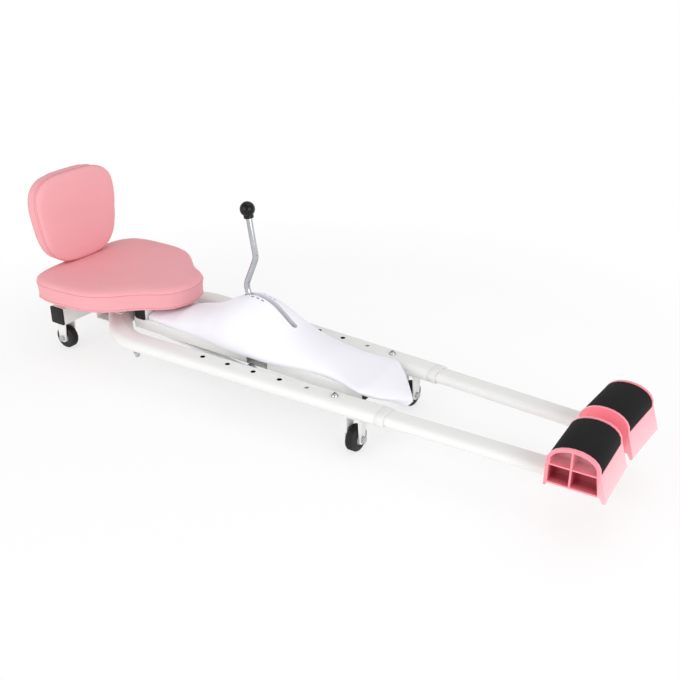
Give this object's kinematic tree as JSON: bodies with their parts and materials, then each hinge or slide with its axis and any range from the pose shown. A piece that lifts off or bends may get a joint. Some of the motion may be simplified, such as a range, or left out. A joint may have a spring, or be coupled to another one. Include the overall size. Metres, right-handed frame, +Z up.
{
  "type": "leg stretching machine",
  "caption": "Leg stretching machine: pink padded seat and backrest on a low wheeled white frame, a hand lever in a white cover, and hinged legs with sliding pink calf rests.",
  "frame": {"origin": "middle of the footprint, on the floor", "axes": "+X towards the feet of the person who sits on it, +Y to that person's left, +Z up"},
  "size_m": [1.2928, 0.3296, 0.3848],
  "materials": {
    "frame_white": "satin",
    "cover_white": "satin",
    "leatherette": "soft sheen",
    "board": "matte",
    "rest_pink": "semi-gloss",
    "pad_black": "matte",
    "cap_black": "matte",
    "knob_black": "gloss",
    "chrome": "polished",
    "zinc": "satin",
    "tread": "matte"
  },
  "bodies": {
    "frame": {"rear_cross_tube": "frame_white", "front_cross_tube": "frame_white", "seat_spine": "frame_white", "rear_cap_left": "cap_black", "rear_cap_right": "cap_black", "cross_cap_left": "cap_black", "cross_cap_right": "cap_black", "side_rail_left": "frame_white", "side_rail_right": "frame_white", "rail_plug_left": "cap_black", "rail_plug_right": "cap_black", "rear_fork_left": "frame_white", "rear_fork_right": "frame_white", "rear_axle_left": "zinc", "rear_axle_right": "zinc", "rail_tie": "frame_white", "pivot_bracket": "frame_white", "pivot_bolt_left": "zinc", "pivot_bolt_right": "zinc", "seat_cushion": "leatherette", "seat_board": "board", "backrest_cushion": "leatherette", "backrest_board": "board", "backrest_bracket": "frame_white", "front_cover": "cover_white", "lever_bracket": "zinc", "lever_pin": "zinc"},
    "lever": {"lever_rod": "chrome", "lever_knob": "knob_black"},
    "pawl": {"drive_pawl": "zinc"},
    "carriage": {"ratchet_slide": "zinc"},
    "leg_left": {"leg_tube_left": "frame_white", "leg_collar_left": "cover_white", "clamp_bolt_left": "chrome", "front_fork_left": "frame_white", "front_axle_left": "zinc", "link_plate_left": "frame_white", "link_bolt_left": "zinc"},
    "link_left": {"link_bar_left": "zinc"},
    "extension_left": {"extension_tube_left": "frame_white", "calf_rest_left": "rest_pink", "calf_pad_left": "pad_black"},
    "button_left": {"snap_button_left": "zinc"},
    "rear_wheel_left": {"rear_wheel_left": "tread"},
    "front_wheel_left": {"front_wheel_left": "tread"},
    "leg_right": {"leg_tube_right": "frame_white", "leg_collar_right": "cover_white", "clamp_bolt_right": "chrome", "front_fork_right": "frame_white", "front_axle_right": "zinc", "link_plate_right": "frame_white", "link_bolt_right": "zinc"},
    "link_right": {"link_bar_right": "zinc"},
    "extension_right": {"extension_tube_right": "frame_white", "calf_rest_right": "rest_pink", "calf_pad_right": "pad_black"},
    "button_right": {"snap_button_right": "zinc"},
    "rear_wheel_right": {"rear_wheel_right": "tread"},
    "front_wheel_right": {"front_wheel_right": "tread"}
  },
  "joints": [
    {"name": "leg_left_open", "type": "hinge", "parent": "frame", "child": "leg_left", "pos_m": [-0.47017, 0.036, 0.0852], "axis": [0, 0, 1], "range_deg": [0, 45]},
    {"name": "leg_right_open", "type": "hinge", "parent": "frame", "child": "leg_right", "pos_m": [-0.47017, -0.036, 0.0852], "axis": [0, 0, -1], "range_deg": [0, 45]},
    {"name": "carriage_slide", "type": "slide", "parent": "frame", "child": "carriage", "axis": [1, 0, 0], "range_m": [0, 0.0732]},
    {"name": "lever_swing", "type": "hinge", "parent": "frame", "child": "lever", "pos_m": [-0.11217, 0, 0.112], "axis": [0, 1, 0], "range_deg": [0, 65]},
    {"name": "pawl_swing", "type": "hinge", "parent": "lever", "child": "pawl", "pos_m": [-0.10411, 0, 0.09935], "axis": [0, 1, 0], "range_deg": [0, 30], "stiffness_Nm_per_rad": 0.01},
    {"name": "link_left_swing", "type": "hinge", "parent": "leg_left", "child": "link_left", "pos_m": [-0.08217, 0.068, 0.0705], "axis": [0, 0, 1], "range_deg": [0, 17.6]},
    {"name": "extension_left_slide", "type": "slide", "parent": "leg_left", "child": "extension_left", "axis": [0.9989, -0.0473, 0], "range_m": [-0.24, 0]},
    {"name": "button_left_press", "type": "slide", "parent": "extension_left", "child": "button_left", "axis": [0, 0, -1], "range_m": [0, 0.004], "stiffness_N_per_m": 1500},
    {"name": "rear_wheel_left_spin", "type": "hinge", "parent": "frame", "child": "rear_wheel_left", "pos_m": [-0.57717, 0.0974, 0.025], "axis": [0, 1, 0], "continuous": true},
    {"name": "front_wheel_left_spin", "type": "hinge", "parent": "leg_left", "child": "front_wheel_left", "pos_m": [0.18, 0.09833, 0.025], "axis": [0.9989, -0.0473, 0], "continuous": true},
    {"name": "link_right_swing", "type": "hinge", "parent": "leg_right", "child": "link_right", "pos_m": [-0.08217, -0.068, 0.0705], "axis": [0, 0, -1], "range_deg": [0, 17.6]},
    {"name": "extension_right_slide", "type": "slide", "parent": "leg_right", "child": "extension_right", "axis": [0.9989, 0.0473, 0], "range_m": [-0.24, 0]},
    {"name": "button_right_press", "type": "slide", "parent": "extension_right", "child": "button_right", "axis": [0, 0, -1], "range_m": [0, 0.004], "stiffness_N_per_m": 1500},
    {"name": "rear_wheel_right_spin", "type": "hinge", "parent": "frame", "child": "rear_wheel_right", "pos_m": [-0.57717, -0.0974, 0.025], "axis": [0, 1, 0], "continuous": true},
    {"name": "front_wheel_right_spin", "type": "hinge", "parent": "leg_right", "child": "front_wheel_right", "pos_m": [0.18, -0.09833, 0.025], "axis": [0.9989, 0.0473, 0], "continuous": true}
  ],
  "couplings": [
    {"joint": "leg_right_open", "follows": "leg_left_open", "ratio": 1},
    {"joint": "carriage_slide", "follows": "leg_left_open", "m_per_rad": 0.0931},
    {"joint": "link_left_swing", "follows": "leg_left_open", "ratio": 0.389},
    {"joint": "link_right_swing", "follows": "leg_left_open", "ratio": 0.389}
  ]
}
